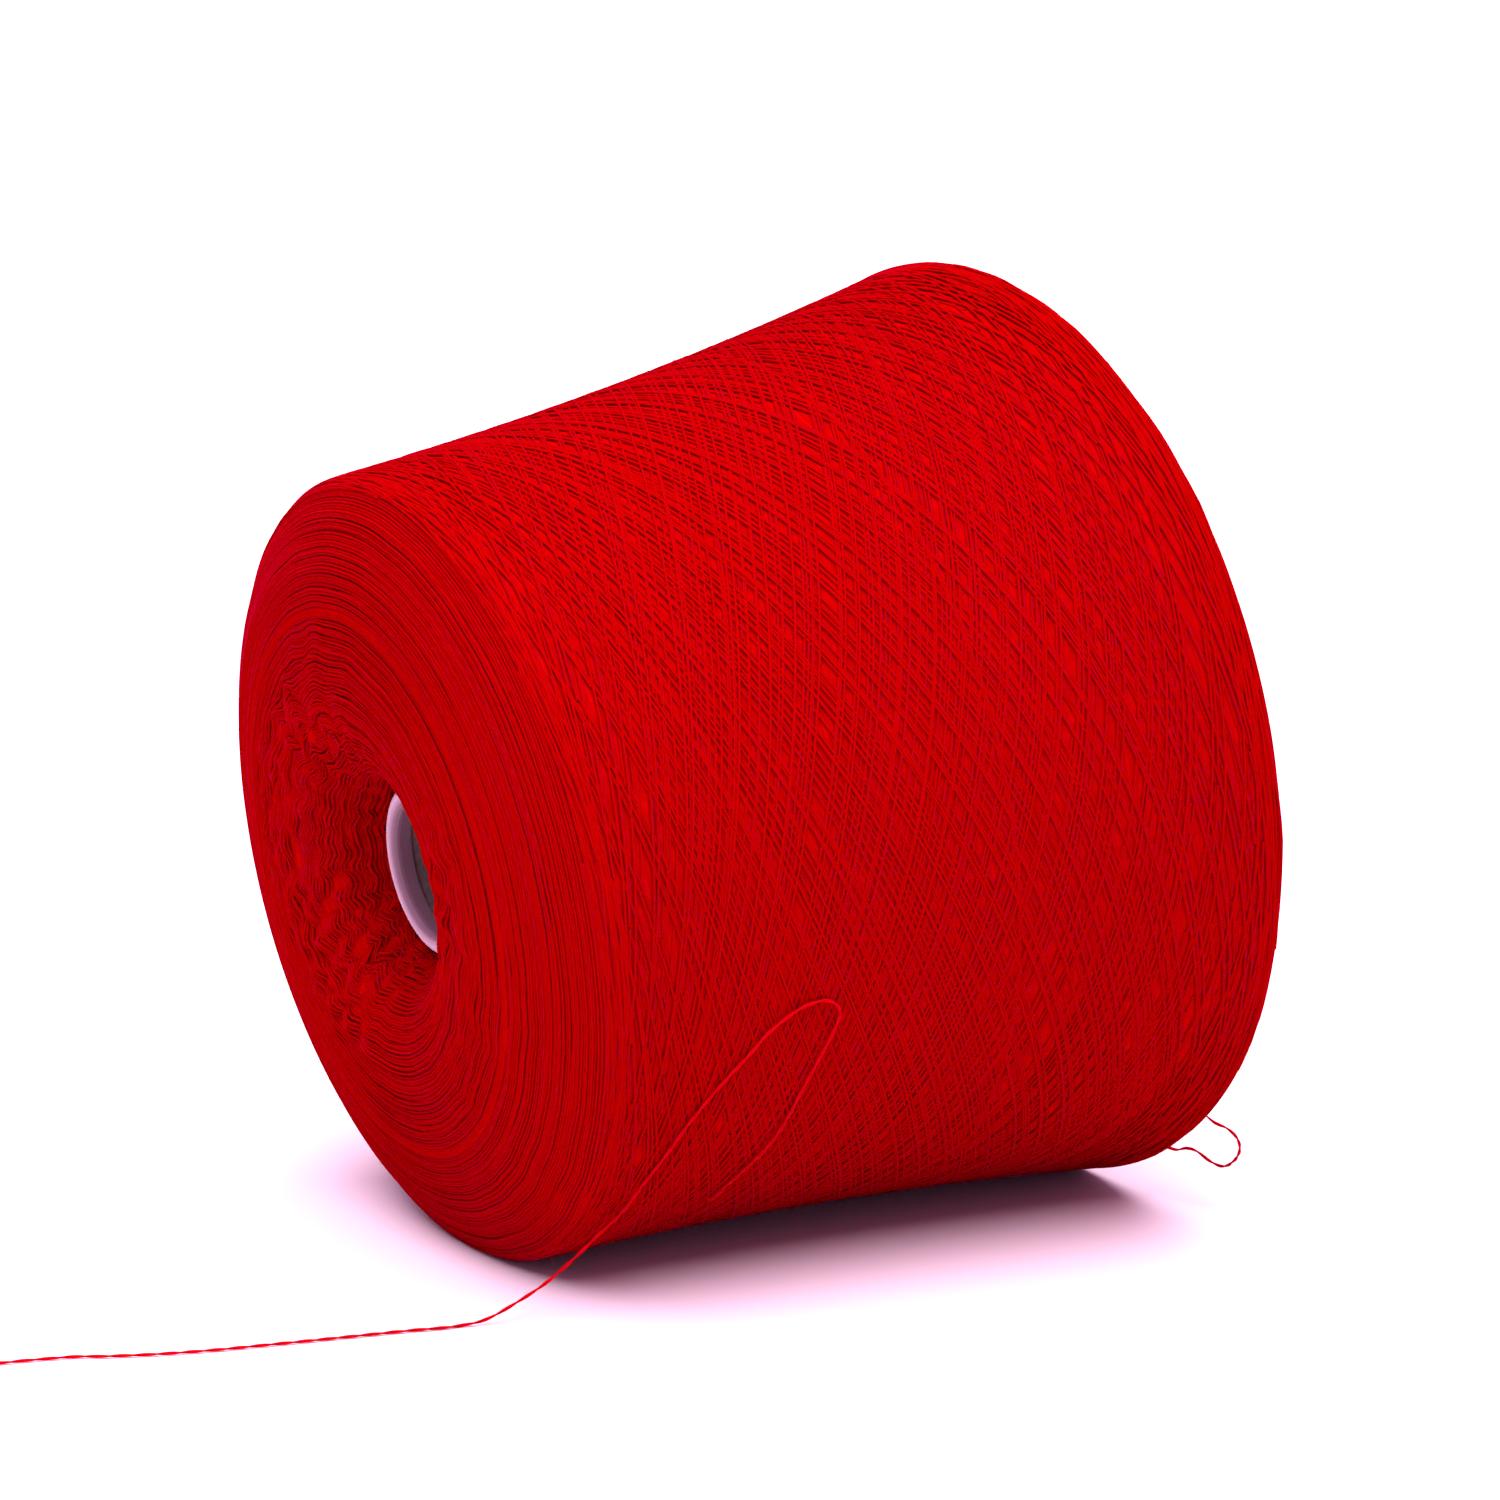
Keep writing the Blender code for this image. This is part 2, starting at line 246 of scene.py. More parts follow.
def thread_tree():
    """Spins round thread along every line of a mesh, and notes the run along it and its side."""
    tree = bpy.data.node_groups.new("spun_thread", "GeometryNodeTree")
    face = tree.interface
    face.new_socket("Lines", in_out="INPUT", socket_type="NodeSocketGeometry")
    for name, kind in (
        ("Thread Radius", "NodeSocketFloat"),
        ("Sides", "NodeSocketInt"),
        ("Finish", "NodeSocketMaterial"),
    ):
        face.new_socket(name, in_out="INPUT", socket_type=kind)
    face.new_socket("Thread", in_out="OUTPUT", socket_type="NodeSocketGeometry")
    given = add_node(tree, "NodeGroupInput").outputs
    lines = add_node(tree, "GeometryNodeMeshToCurve", {0: given["Lines"]}).outputs[0]
    run = add_node(tree, "GeometryNodeSplineParameter").outputs["Length"]
    marked = add_node(
        tree, "GeometryNodeStoreNamedAttribute", {"Geometry": lines, "Name": "run", "Value": run}
    ).outputs[0]
    ring = add_node(
        tree,
        "GeometryNodeCurvePrimitiveCircle",
        {"Resolution": given["Sides"], "Radius": given["Thread Radius"]},
    ).outputs[0]
    place = add_node(tree, "GeometryNodeInputPosition").outputs[0]
    side = add_node(tree, "ShaderNodeVectorMath", {0: place}, operation="NORMALIZE").outputs[0]
    sided = add_node(
        tree,
        "GeometryNodeStoreNamedAttribute",
        {"Geometry": ring, "Name": "side"},
        data_type="FLOAT_VECTOR",
    )
    tree.links.new(side, next(s for s in sided.inputs if s.name == "Value" and s.enabled))
    spun = add_node(
        tree,
        "GeometryNodeCurveToMesh",
        {"Curve": marked, "Profile Curve": sided.outputs[0], "Fill Caps": True},
    ).outputs[0]
    smooth = add_node(tree, "GeometryNodeSetShadeSmooth", {"Geometry": spun}).outputs[0]
    real = add_node(tree, "GeometryNodeRealizeInstances", {0: smooth}).outputs[0]
    done = add_node(
        tree, "GeometryNodeSetMaterial", {"Geometry": real, "Material": given["Finish"]}
    ).outputs[0]
    add_node(tree, "NodeGroupOutput", {0: done})
    return tree


def grown(name, mesh, tree, settings):
    """Runs a node tree on a mesh and returns its result as a plain mesh object."""
    seedling = bpy.data.objects.new(name + "_lines", mesh)
    bpy.context.scene.collection.objects.link(seedling)
    modifier = seedling.modifiers.new("grow", "NODES")
    modifier.node_group = tree
    for socket in tree.interface.items_tree:
        if socket.in_out == "INPUT" and socket.name in settings:
            modifier[socket.identifier] = settings[socket.name]
    graph = bpy.context.evaluated_depsgraph_get()
    plain = bpy.data.meshes.new_from_object(seedling.evaluated_get(graph))
    seedling.modifiers.remove(modifier)
    bpy.data.objects.remove(seedling)
    plain.name = name
    made = bpy.data.objects.new(name, plain)
    bpy.context.scene.collection.objects.link(made)
    return made


def lines_mesh(name, strands, dyes):
    """A mesh of open lines, one for each strand of points, with each strand's shade of the dye."""
    points = np.concatenate(strands)
    counts = np.array([len(s) for s in strands])
    starts = np.concatenate(([0], np.cumsum(counts)[:-1]))
    first = np.concatenate([np.arange(a, a + n - 1) for a, n in zip(starts, counts)])
    mesh = bpy.data.meshes.new(name + "_lines")
    mesh.vertices.add(len(points))
    mesh.vertices.foreach_set("co", points.astype(np.float32).ravel())
    mesh.edges.add(len(first))
    mesh.edges.foreach_set("vertices", np.stack((first, first + 1), 1).astype(np.int32).ravel())
    dye = mesh.attributes.new("dye", "FLOAT", "POINT")
    dye.data.foreach_set("value", np.repeat(dyes, counts).astype(np.float32))
    return mesh


spun_thread = thread_tree()


def spin_thread(name, strands, finish, radius=THREAD_RADIUS, sides=5, dyes=None):
    shades = np.full(len(strands), 0.6) if dyes is None else np.asarray(dyes)
    settings = {"Thread Radius": radius, "Sides": sides, "Finish": finish}
    return grown(name, lines_mesh(name, strands, shades), spun_thread, settings)


def smooth_route(route, step):
    """Evenly spaced points on a Catmull-Rom curve through a listed route."""
    knots = np.array(route, float)
    knots = np.vstack((2 * knots[0] - knots[1], knots, 2 * knots[-1] - knots[-2]))
    t = np.linspace(0, 1, 24, endpoint=False)[:, None]
    fine = [
        0.5 * (2 * b + (c - a) * t + (2 * a - 5 * b + 4 * c - d) * t**2 + (3 * b - a - 3 * c + d) * t**3)
        for a, b, c, d in zip(knots, knots[1:], knots[2:], knots[3:])
    ]
    fine = np.vstack(fine + [knots[-2:-1]])
    run = np.concatenate(([0], np.cumsum(np.linalg.norm(np.diff(fine, axis=0), axis=1))))
    wanted = np.linspace(0, run[-1], max(3, round(run[-1] / step) + 1))
    return np.stack([np.interp(wanted, run, fine[:, i]) for i in range(3)], 1)


def ply_lines(centres, lowest):
    """The two plies' own centre lines, twisted round a thread's centre line and kept off the floor."""
    along = np.gradient(centres, axis=0)
    along /= np.linalg.norm(along, axis=1)[:, None]
    across = np.cross(along, (0.0, 0.0, 1.0))
    across /= np.maximum(np.linalg.norm(across, axis=1), 1e-9)[:, None]
    up = np.cross(across, along)
    run = np.concatenate(([0], np.cumsum(np.linalg.norm(np.diff(centres, axis=0), axis=1))))
    turn = run * math.tau / PLY_PITCH + 0.5 * np.sin(run * 61.0)
    found = []
    for start in (0.0, math.pi):
        angle = (turn + start)[:, None]
        line = centres + PLY_OFFSET * (np.cos(angle) * across + np.sin(angle) * up)
        line[:, 2] = np.maximum(line[:, 2], lowest)
        found.append(line)
    return found


def loose_thread(name, route, node):
    centres = smooth_route(route, ROUTE_STEP)
    plies = ply_lines(centres, PLY_RADIUS)
    piece = spin_thread(name, plies, plied_painted_light_finish, PLY_RADIUS, 8, [0.9, 0.6])
    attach(piece, "package")
    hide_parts(node)


loose_thread("loose_end", TAIL_ROUTE, "thread_tail")
loose_thread("slipped_loop", LOOP_ROUTE, "base_loop")

# ---- conical paper tube -------------------------------------------------------------------------
# A rolled cone of grey board, covered with smooth white paper whose edge is folded over the nose
# and glued a few millimetres down the bore. The paper's lap makes a fine raised seam along it.

AXIS = np.array(Vector(frame["joints"][0]["axis"]).normalized())
DOWN = np.array((AXIS[2], 0.0, -AXIS[0]))  # square to the axis, from which turns are counted
ACROSS = np.array((0.0, 1.0, 0.0))


def corners_of(node):
    """The separate corners of a CAD piece."""
    mesh = frame["nodes"][node].data
    found = np.zeros(len(mesh.vertices) * 3)
    mesh.vertices.foreach_get("co", found)
    return np.unique(np.round(found.reshape(-1, 3), 6), axis=0)


package_corners = corners_of("yarn_package")
package_along = package_corners @ AXIS
base_ring = package_corners[package_along > package_along.max() - 1e-5]
NOSE_CREST = package_along.min()
AXIS_FOOT = base_ring.mean(axis=0) - AXIS * (package_along.max() - NOSE_CREST)


def on_cone(radius, along, turn):
    """Points at a radius and a distance along the cone's axis from the crest of its nose."""
    radius, along, turn = np.broadcast_arrays(radius, along, turn)
    spoke = np.cos(turn)[..., None] * DOWN + np.sin(turn)[..., None] * ACROSS
    return AXIS_FOOT + along[..., None] * AXIS + radius[..., None] * spoke


def section_of(corners):
    """(radius, along) of a turned piece's corners above the axis, where nothing is cut away."""
    offset = corners - AXIS_FOOT
    along = offset @ AXIS
    spoke = offset - along[:, None] * AXIS
    pairs = np.stack((np.linalg.norm(spoke, axis=1), along), 1)[spoke[:, 2] > 0]
    return np.unique(np.round(pairs, 5), axis=0)


cover_section = section_of(corners_of("tube_cover"))
tube_base = cover_section[:, 1].max()
tube_nose = cover_section[:, 1].min()
tube_base_radius = cover_section[cover_section[:, 1] > tube_base - 1e-4, 0].max()
TUBE_SLOPE = math.tan(math.radians(5 + 57 / 60))


def tube_radius(along):
    return tube_base_radius - (tube_base - along) * TUBE_SLOPE


def cone_coordinates(tree):
    """Object coordinates turned so that Z runs along the cone's axis and X and Y are centred on it."""
    place = add_node(tree, "ShaderNodeTexCoord").outputs["Object"]
    lean = math.atan2(AXIS[2], AXIS[0])
    centred = add_node(
        tree, "ShaderNodeVectorMath", {0: place, 1: tuple(AXIS_FOOT)}, operation="SUBTRACT"
    ).outputs[0]
    inputs = {"Vector": centred, "Rotation": (0.0, lean - math.pi / 2, 0.0)}
    return add_node(tree, "ShaderNodeMapping", inputs).outputs[0]


def radius_and_along(tree, place):
    parts = add_node(tree, "ShaderNodeSeparateXYZ", {0: place}).outputs
    flat = add_node(tree, "ShaderNodeCombineXYZ", {0: parts[0], 1: parts[1]}).outputs[0]
    length = add_node(tree, "ShaderNodeVectorMath", {0: flat}, operation="LENGTH")
    return length.outputs["Value"], parts[2]


PAPER_DULL = (0.55, 0.43, 0.50, 1.0)
PAPER_BRIGHT = (0.62, 0.49, 0.57, 1.0)
# painted shade: the dark colour the paper takes deep inside the bore.
PAPER_BORE_SHADE = (0.20, 0.12, 0.155, 1.0)
PAPER_LINT = (0.42, 0.05, 0.06, 1.0)
BORE_SHADE_FROM = 0.0016  # depth in from the tube's outer surface where the painted shade inside the bore starts
BORE_SHADE_TO = 0.0034
BOARD_DARK = (0.15, 0.12, 0.105, 1.0)
BOARD_PALE = (0.28, 0.235, 0.21, 1.0)
BOARD_BROWN = (0.21, 0.16, 0.13, 1.0)
BOARD_GLUE = (0.12, 0.10, 0.09, 1.0)
BOARD_PLY = 0.0005


def paper_finish():
    """Smooth white cone paper: fine fibres, red lint off the yarn, and painted shade darkening it inside
    the bore.
    """
    made = bpy.data.materials.new("white_cone_paper")
    made.use_nodes = True
    tree = made.node_tree
    surface = tree.nodes["Principled BSDF"]
    surface.inputs["Specular IOR Level"].default_value = 0.35
    place = cone_coordinates(tree)
    stretched = add_node(
        tree, "ShaderNodeMapping", {"Vector": place, "Scale": (1.0, 1.0, 0.25)}
    ).outputs[0]
    mottle = noise_of(tree, place, 90.0, 3.0, 0.55)
    fibres = noise_of(tree, stretched, 1400.0, 3.0, 0.6)
    specks = noise_of(tree, place, 700.0, 2.0, 0.7)
    paper = colour_mix(tree, spread(tree, mottle, 0.3, 0.7), PAPER_DULL, PAPER_BRIGHT)
    radius, along = radius_and_along(tree, place)
    outside = math_of(tree, "ADD", math_of(tree, "MULTIPLY", along, TUBE_SLOPE), tube_radius(0.0))
    depth = math_of(tree, "SUBTRACT", outside, radius)
    # painted shade: the paper darkens with depth into the bore.
    bore_shaded = colour_mix(tree, spread(tree, depth, BORE_SHADE_FROM, BORE_SHADE_TO), paper, PAPER_BORE_SHADE)
    lint_and_bore_shade = colour_mix(tree, spread(tree, specks, 0.66, 0.74, 0.0, 0.55), bore_shaded, PAPER_LINT)
    tree.links.new(lint_and_bore_shade, surface.inputs["Base Color"])
    tree.links.new(spread(tree, mottle, 0.3, 0.7, 0.46, 0.62), surface.inputs["Roughness"])
    tree.links.new(bump_of(tree, fibres, 0.00004, 0.5), surface.inputs["Normal"])
    return made


def board_finish():
    """Grey chipboard: short pale and dark fibres, plies that show as rings on the cut base."""
    made = bpy.data.materials.new("grey_cone_board")
    made.use_nodes = True
    tree = made.node_tree
    surface = tree.nodes["Principled BSDF"]
    surface.inputs["Specular IOR Level"].default_value = 0.2
    place = cone_coordinates(tree)
    radius, along = radius_and_along(tree, place)
    wall = math_of(tree, "SUBTRACT", radius, math_of(tree, "MULTIPLY", along, TUBE_SLOPE))
    plies = math_of(tree, "SINE", math_of(tree, "MULTIPLY", wall, math.tau / BOARD_PLY))
    fibres = noise_of(tree, place, 900.0, 4.0, 0.65)
    patches = noise_of(tree, place, 120.0, 2.0, 0.5)
    grey = colour_mix(tree, spread(tree, fibres, 0.3, 0.7), BOARD_DARK, BOARD_PALE)
    browner = colour_mix(tree, spread(tree, patches, 0.35, 0.7, 0.0, 0.6), grey, BOARD_BROWN)
    layered = colour_mix(tree, spread(tree, plies, -1.0, 1.0, 0.0, 0.3), browner, BOARD_GLUE)
    tree.links.new(layered, surface.inputs["Base Color"])
    tree.links.new(spread(tree, fibres, 0.2, 0.8, 0.72, 0.9), surface.inputs["Roughness"])
    tree.links.new(bump_of(tree, fibres, 0.00008, 0.6), surface.inputs["Normal"])
    return made


paper = paper_finish()
board = board_finish()
for node, finish in (("tube_cover", paper), ("tube_board", board)):
    frame["nodes"][node].data.materials.clear()
    frame["nodes"][node].data.materials.append(finish)

SEAM_TURN = math.radians(215)
SEAM_WIDTH = 0.0009
SEAM_HEIGHT = 0.00012


def paper_seam():
    """The lapped edge of the paper, a fine step that runs the length of the cone."""
    rows = 60
    along = np.linspace(tube_nose + 0.003, tube_base - 0.0006, rows)
    outline = ((-0.5, -0.0001), (-0.44, SEAM_HEIGHT), (0.1, SEAM_HEIGHT), (0.5, -0.0001))
    points = []
    for a in along:
        for share, lift in outline:
            radius = tube_radius(a) + lift
            points.append(on_cone(radius, a, SEAM_TURN + share * SEAM_WIDTH / radius))
    wide = len(outline)
    faces = []
    for row in range(rows - 1):
        for side in range(wide):
            a, b = row * wide + side, row * wide + (side + 1) % wide
            faces.append((a, b, b + wide, a + wide))
    faces.append(tuple(range(wide))[::-1])
    faces.append(tuple(range((rows - 1) * wide, rows * wide)))
    mesh = bpy.data.meshes.new("sleeve_seam")
    mesh.from_pydata([tuple(p) for p in points], [], faces)
    mesh.materials.append(paper)
    made = bpy.data.objects.new("sleeve_seam", mesh)
    bpy.context.scene.collection.objects.link(made)
    return made


seam = paper_seam()
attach(seam, "tube")

# ---- reserve turns ------------------------------------------------------------------------------
# A few turns of the thread wound on the bare base end of the tube before the package was started,
# so that the next cone can be tied on while this one runs.

bunch_section = section_of(corners_of("transfer_bunch"))
BUNCH_NEAR = bunch_section[:, 1].min()
BUNCH_FAR = bunch_section[:, 1].max()
BUNCH_TURNS = 15
BUNCH_STEP = 0.0022


def reserve_path():
    """Two layers of close turns, laid out and back with a few stray crossings."""
    rng = np.random.default_rng(11)
    count = int(BUNCH_TURNS * math.tau * tube_radius(BUNCH_NEAR) / BUNCH_STEP)
    turn = np.linspace(0, BUNCH_TURNS * math.tau, count)
    share = turn / turn[-1]
    sweep = 1 - np.abs(1 - 2 * share)  # out and back
    stray = np.interp(turn, np.linspace(0, turn[-1], 60), rng.normal(0, 0.00025, 60))
    inset = THREAD_RADIUS * 1.2
    along = BUNCH_NEAR + inset + (BUNCH_FAR - BUNCH_NEAR - 2 * inset) * sweep + stray
    layer = np.where(share < 0.5, 0.0, 1.0)
    layer = np.convolve(np.pad(layer, 8, mode="edge"), np.ones(17) / 17, mode="valid")
    lift = THREAD_RADIUS * (0.95 + 1.5 * layer)
    return on_cone(tube_radius(along) + lift, along, turn)


reserve_turns = spin_thread("reserve_turns", [reserve_path()], thread_finish, sides=7)
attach(reserve_turns, "tube")
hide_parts("transfer_bunch")

# ---- body of the package ------------------------------------------------------------------------
# The wound yarn under the last layers, which shows only as the dark bottom of the gaps between threads.
# Its colours are painted paler than the threads' own, as painted light that lifts the shade in those
# gaps. It follows the package's section a little way inside its skin.

SECTION_MIDDLE = (0.060, 0.078)  # a point inside the yarn, round which its section is put in order
SECTION_STEP = 0.0005
CORE_FACETS = 180


def package_skin():
    """The package's closed section in even steps: radius, along, and the way out of the yarn."""
    section = section_of(package_corners)
    bearing = np.arctan2(section[:, 1] - SECTION_MIDDLE[1], section[:, 0] - SECTION_MIDDLE[0])
    order = np.argsort(-bearing)
    section = section[order]
    bore_base = np.argmax(section[:, 1])
    section = np.roll(section, -bore_base, axis=0)
    flat = np.stack((section[:, 0], np.zeros(len(section)), section[:, 1]), 1)
    curve = smooth_route(flat, SECTION_STEP)[:, (0, 2)]
    along = np.gradient(curve, axis=0)
    along /= np.linalg.norm(along, axis=1)[:, None]
    out = np.stack((-along[:, 1], along[:, 0]), 1)
    return curve, out


skin, skin_out = package_skin()
skin_run = np.concatenate(([0], np.cumsum(np.linalg.norm(np.diff(skin, axis=0), axis=1))))
crest_run = skin_run[np.argmin(skin[:, 1])]
edge_run = skin_run[np.argmax(skin[:, 0])]


def run_at_radius(radius, low, high):
    """Where between two runs the skin has a radius."""
    inside = (skin_run >= low) & (skin_run <= high)
    return skin_run[inside][np.argmin(np.abs(skin[inside, 0] - radius))]


def on_skin(run, turn, lift):
    """Points over the package's skin. What would sink into the floor lies pressed on it."""
    radius, along, out_radius, out_along = (
        np.interp(run, skin_run, column) for column in (*skin.T, *skin_out.T)
    )
    points = on_cone(radius + lift * out_radius, along + lift * out_along, turn)
    points[..., 2] = np.maximum(points[..., 2], THREAD_RADIUS + 0.00002)
    return points


SIDE_INSET = 0.00026
FACE_INSET = 0.00050
BORE_INSET = 0.0008
NOSE_EDGE_RADIUS = 0.080  # where the side's inset gives way to the faces'
# painted light: the inner yarn is paler than the threads over it, so the shaded gaps read less dark.
CORE_PAINTED_LIGHT_DARK = (0.25, 0.0001, 0.0003, 1.0)
CORE_PAINTED_LIGHT_PALE = (0.42, 0.0003, 0.0006, 1.0)


def core_finish():
    made = bpy.data.materials.new("red_inner_yarn_painted_light")
    made.use_nodes = True
    tree = made.node_tree
    surface = tree.nodes["Principled BSDF"]
    surface.inputs["Roughness"].default_value = 0.95
    surface.inputs["Specular IOR Level"].default_value = 0.0
    place = cone_coordinates(tree)
    radius, along = radius_and_along(tree, place)
    rows = add_node(tree, "ShaderNodeCombineXYZ", {0: radius, 1: along}).outputs[0]
    threads = noise_of(tree, rows, 1300.0, 2.0, 0.6)
    clouds = noise_of(tree, place, 300.0, 3.0, 0.6)
    lines, cloudy = spread(tree, threads, 0.3, 0.7), spread(tree, clouds, 0.2, 0.8)
    share = math_of(tree, "MULTIPLY", lines, cloudy)
    tree.links.new(colour_mix(tree, share, CORE_PAINTED_LIGHT_DARK, CORE_PAINTED_LIGHT_PALE), surface.inputs["Base Color"])
    tree.links.new(bump_of(tree, threads, 0.0005, 0.8), surface.inputs["Normal"])
    return made


def package_core():
    """The closed body, turned from the skin's section drawn in by the depth of the last layers."""
    keep = slice(0, None, 4)
    inset = np.where(skin_run > edge_run, SIDE_INSET, FACE_INSET)
    nose_edge = run_at_radius(NOSE_EDGE_RADIUS, edge_run + 0.05, crest_run)
    inset = np.where(skin_run > nose_edge, FACE_INSET, inset)
    outline = (skin - skin_out * inset[:, None])[keep]
    outline[0, 0] += BORE_INSET
    outline[-1, 0] += BORE_INSET
    turns = np.arange(CORE_FACETS) * math.tau / CORE_FACETS
    points = on_cone(outline[:, 0][:, None], outline[:, 1][:, None], turns[None, :])
    points[..., 2] = np.maximum(points[..., 2], 0.0004)
    rows = len(outline)
    row, facet = np.meshgrid(np.arange(rows), np.arange(CORE_FACETS), indexing="ij")
    after_row, after_facet = (row + 1) % rows, (facet + 1) % CORE_FACETS
    faces = np.stack(
        [
            row * CORE_FACETS + facet,
            row * CORE_FACETS + after_facet,
            after_row * CORE_FACETS + after_facet,
            after_row * CORE_FACETS + facet,
        ],
        -1,
    ).reshape(-1, 4)
    mesh = bpy.data.meshes.new("package_core")
    mesh.from_pydata(points.reshape(-1, 3).tolist(), [], faces.tolist())
    mesh.shade_smooth()
    mesh.materials.append(core_finish())
    made = bpy.data.objects.new("package_core", mesh)
    bpy.context.scene.collection.objects.link(made)
    return made


core = package_core()
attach(core, "package")
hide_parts("yarn_package")

# ---- last layers of the side --------------------------------------------------------------------
# One thread wound to and fro between the base edge and the nose shoulder while the cone turns. Each
# stroke lies over the strokes before it, so two families cross and leave small dark lozenges.

DOUBLE_STROKES = 520
LAYER_STROKES = 250  # double strokes that close the surface once
STROKE_TURNS = (2 + 8 / 37) / 2  # turns of the cone during one stroke
STROKE_CREEP = 1 / (37 * LAYER_STROKES) / 2  # what keeps a stroke from lying on an earlier one
STROKE_SLIP = 0.016 / LAYER_STROKES  # how much the cone slips on the drum, in turns
REVERSAL_SHARE = 0.44  # share of a stroke spent gathering and losing speed at each end
REVERSAL_SCATTER = 0.0045  # how far short of its end a stroke may turn back
FINE_STEP = 0.0003  # between points while the pile is built up
THREAD_STEP = 0.0040  # between points of the thread that is shown
MAP_CELL = 0.00035  # cell of the map of the pile's height
MAP_MARGIN = 0.004  # of that map, before the side's start
MIDDLE_RADIUS = 0.094
BRIDGE = 13  # points over which a thread rests on the highest thread under it
SAG_SPREAD = 8.0  # points over which that height is smoothed
SAG_REACH = 20
BRIDGED_SHARE = 0.8  # how much of a thread's height comes from what it bridges
UNDER_SHARE = 0.2  # and from what lies right under it
FLANK = 0.55  # height of a thread in the cells beside its middle
THICKNESS = 0.00052  # what a thread adds to the loose pile
PROUDEST = 0.00012  # height over the skin of the topmost threads' middles, once settled
SETTLED_DEPTH = 0.00042  # how far under them the deepest threads come to lie
SETTLED_FROM = 0.0032  # height of loose pile that settles into most of that depth
BURIED = 0.0030  # threads under more of the loose pile than this are hidden
PATTERN_STROKES = 74  # strokes before the thread comes back beside itself
LAST_RISE = 0.00006  # how far the strokes of the last pattern stand over the rest

rng = np.random.default_rng(7)
SIDE_START = edge_run - 0.0004
SIDE_END = run_at_radius(0.0815, edge_run + 0.05, crest_run)


def traverse(share):
    """How far along its stroke the guide has come: slow at both ends and even between."""
    gather = REVERSAL_SHARE
    level = 1 / (1 - gather)
    early = level * share**2 / (2 * gather)
    late = 1 - level * (1 - share) ** 2 / (2 * gather)
    middle = level * (share - gather / 2)
    return np.where(share < gather, early, np.where(share > 1 - gather, late, middle))


def wound_side():
    """The last layers as pieces of line: run, turn and height over the skin, in laying order."""
    side_cells = int((SIDE_END - SIDE_START + 3 * MAP_MARGIN) / MAP_CELL)
    round_cells = int(math.tau * MIDDLE_RADIUS / MAP_CELL)
    pile = np.zeros((round_cells, side_cells))
    around = math.tau * MIDDLE_RADIUS * STROKE_TURNS
    samples = int(math.hypot(around, SIDE_END - SIDE_START) / FINE_STEP)
    share = np.linspace(0, 1, samples)
    reach = traverse(share)
    kernel = np.exp(-0.5 * (np.arange(-SAG_REACH, SAG_REACH + 1) / SAG_SPREAD) ** 2)
    kernel /= kernel.sum()
    pad = SAG_REACH + BRIDGE // 2
    turned, here = 0.0, SIDE_START
    laid = []
    for stroke in range(2 * DOUBLE_STROKES):
        scatter = REVERSAL_SCATTER * rng.random() ** 1.5
        there = SIDE_END - scatter if stroke % 2 == 0 else SIDE_START + scatter
        turns = STROKE_TURNS + STROKE_CREEP + rng.normal(0, STROKE_SLIP)
        run = here + (there - here) * reach
        turn = turned + turns * share
        row = (np.mod(turn, 1.0) * round_cells).astype(int) % round_cells
        cell = np.clip(((run - SIDE_START + MAP_MARGIN) / MAP_CELL).astype(int), 1, side_cells - 2)
        under = np.maximum.reduce([pile[row, cell + k] for k in (-1, 0, 1)])
        padded = np.pad(under, pad, mode="edge")
        width = len(under) + 2 * SAG_REACH
        highest = np.maximum.reduce([padded[k : k + width] for k in range(BRIDGE)])
        bridged = np.convolve(highest, kernel, mode="valid")
        height = BRIDGED_SHARE * bridged + UNDER_SHARE * under
        for side, drop in ((-1, FLANK), (0, 1.0), (1, FLANK)):
            top = height + THICKNESS * drop
            pile[row, cell + side] = np.maximum(pile[row, cell + side], top)
        laid.append((run, turn * math.tau, height, row, cell))
        turned, here = turned + turns, there
    peak = np.percentile(pile, 98, axis=0)
    peak = np.convolve(np.pad(peak, 8, mode="edge"), np.ones(17) / 17, mode="valid")
    skip = max(1, round(THREAD_STEP / FINE_STEP))
    strands = []
    for stroke, (run, turn, height, row, cell) in enumerate(laid):
        under_peak = np.maximum(peak[cell] - height, -THICKNESS)
        lift = PROUDEST - SETTLED_DEPTH * (1 - np.exp(-under_peak / SETTLED_FROM))
        if stroke >= len(laid) - PATTERN_STROKES:
            lift = np.maximum(lift, 0.4 * PROUDEST) + LAST_RISE
        shown = pile[row, cell] - height < BURIED
        edges = np.flatnonzero(np.diff(np.concatenate(([0], shown.astype(int), [0]))))
        for start, stop in edges.reshape(-1, 2):
            pick = np.unique(np.append(np.arange(start, stop, skip), stop - 1))
            if len(pick) > 3:
                strands.append((run[pick], turn[pick], lift[pick]))
    return strands


def wind(name, strands, radius=THREAD_RADIUS, sides=4, limit=180000):
    """Spins strands into thread pieces, each under the limit of triangles, riding on the package."""
    lines, load, made = [], 0, []

    def finish_piece():
        label = f"{name}_{len(made) + 1}"
        piece = spin_thread(label, lines, thread_finish, radius, sides, rng.random(len(lines)))
        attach(piece, "package")
        made.append(piece)

    for run, turn, lift in strands:
        lines.append(on_skin(run, turn, lift))
        load += 2 * sides * len(run)
        if load > limit:
            finish_piece()
            lines, load = [], 0
    if lines:
        finish_piece()


wind("side_thread", wound_side())

# ---- nose face and base face --------------------------------------------------------------------
# Where the strokes turn back, each layer shows as long arcs that run round the cone and dip under
# their neighbours. The first layers near the tube were wound soft, and have buckled into waves.

